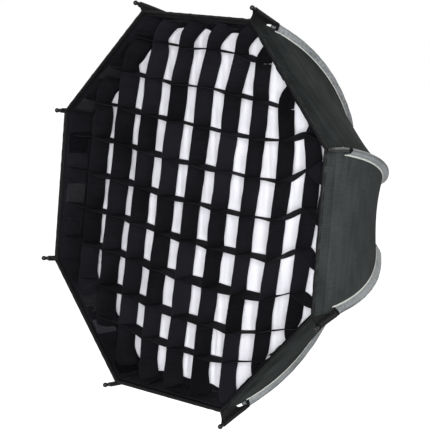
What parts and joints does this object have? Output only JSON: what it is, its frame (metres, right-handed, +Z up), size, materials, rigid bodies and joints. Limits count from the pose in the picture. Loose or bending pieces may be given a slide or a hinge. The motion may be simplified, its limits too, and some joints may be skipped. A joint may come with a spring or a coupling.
{
  "type": "softbox with honeycomb grid",
  "caption": "Octagonal fabric softbox on a bowed rod frame, with an egg-crate honeycomb grid and a diffuser that pull out of its front, and a turning adapter ring at the rear.",
  "frame": {"origin": "centre of the light's bore, on the rear face of the adapter ring", "axes": "+Y along the softbox's axis towards the light, so that the grid faces -Y; +Z up, with a side of the octagon at the top; +X to the right as seen from the front"},
  "size_m": [0.4888, 0.2823, 0.4888],
  "materials": {
    "black_cloth": "matt",
    "cover_cloth": "matt",
    "grey_cloth": "satin",
    "silver_cloth": "satin",
    "white_cloth": "matt",
    "webbing": "matt",
    "hook_and_loop": "matt",
    "spring_steel": "satin",
    "zinc_steel": "satin",
    "bright_aluminium": "satin",
    "anodised_aluminium": "satin",
    "moulded_nylon": "matt",
    "black_plastic": "gloss",
    "pad_rubber": "matt"
  },
  "bodies": {
    "adapter": {"adapter_ring": "anodised_aluminium", "retaining_ring": "anodised_aluminium", "retaining_screws": "zinc_steel"},
    "softbox": {"hub_ring": "moulded_nylon", "rod_sockets": "bright_aluminium", "socket_screws": "zinc_steel", "rear_collar": "black_cloth", "silver_lining": "silver_cloth", "lip_facing": "black_cloth", "lip_binding": "webbing", "grid_loop_tape": "hook_and_loop", "diffuser_loop_tape": "hook_and_loop", "rod_sleeves": "grey_cloth", "rod_tip_caps": "black_plastic", "corner_tabs": "webbing", "cover_panel_1": "cover_cloth", "cover_panel_2": "cover_cloth", "cover_panel_3": "cover_cloth", "cover_panel_4": "cover_cloth", "cover_panel_5": "cover_cloth", "cover_panel_6": "cover_cloth", "cover_panel_7": "cover_cloth", "cover_panel_8": "cover_cloth", "rod_1": "spring_steel", "rod_2": "spring_steel", "rod_3": "spring_steel", "rod_4": "spring_steel", "rod_5": "spring_steel", "rod_6": "spring_steel", "rod_7": "spring_steel", "rod_8": "spring_steel"},
    "diffuser": {"diffuser_panel": "white_cloth", "diffuser_border": "black_cloth", "diffuser_hook_tape": "hook_and_loop"},
    "grid": {"grid_rim": "black_cloth", "grid_hook_tape": "hook_and_loop", "grid_strip_v1": "black_cloth", "grid_strip_v2": "black_cloth", "grid_strip_v3": "black_cloth", "grid_strip_v4": "black_cloth", "grid_strip_v5": "black_cloth", "grid_strip_v6": "black_cloth", "grid_strip_v7": "black_cloth", "grid_strip_v8": "black_cloth", "grid_strip_v9": "black_cloth", "grid_strip_h1": "black_cloth", "grid_strip_h2": "black_cloth", "grid_strip_h3": "black_cloth", "grid_strip_h4": "black_cloth", "grid_strip_h5": "black_cloth", "grid_strip_h6": "black_cloth", "grid_strip_h7": "black_cloth", "grid_strip_h8": "black_cloth", "grid_strip_h9": "black_cloth"},
    "clamp_pad": {"lock_pad": "pad_rubber"},
    "lock": {"lock_screw": "zinc_steel", "lock_knob": "black_plastic"}
  },
  "joints": [
    {"name": "softbox_turn", "type": "hinge", "parent": "adapter", "child": "softbox", "pos_m": [0, -0.01414, 0], "axis": [0, 1, 0], "continuous": true},
    {"name": "diffuser_pull", "type": "slide", "parent": "softbox", "child": "diffuser", "axis": [0, -1, 0], "range_m": [0, 0.1]},
    {"name": "grid_pull", "type": "slide", "parent": "diffuser", "child": "grid", "axis": [0, -1, 0], "range_m": [0, 0.12]},
    {"name": "pad_travel", "type": "slide", "parent": "softbox", "child": "clamp_pad", "axis": [0, 0, -1], "range_m": [0, 0.0015]},
    {"name": "knob_turn", "type": "hinge", "parent": "clamp_pad", "child": "lock", "pos_m": [0, -0.01234, -0.07], "axis": [0, 0, -1], "range_deg": [0, 540]}
  ],
  "couplings": [
    {"joint": "knob_turn", "follows": "pad_travel", "rad_per_m": 6283}
  ]
}
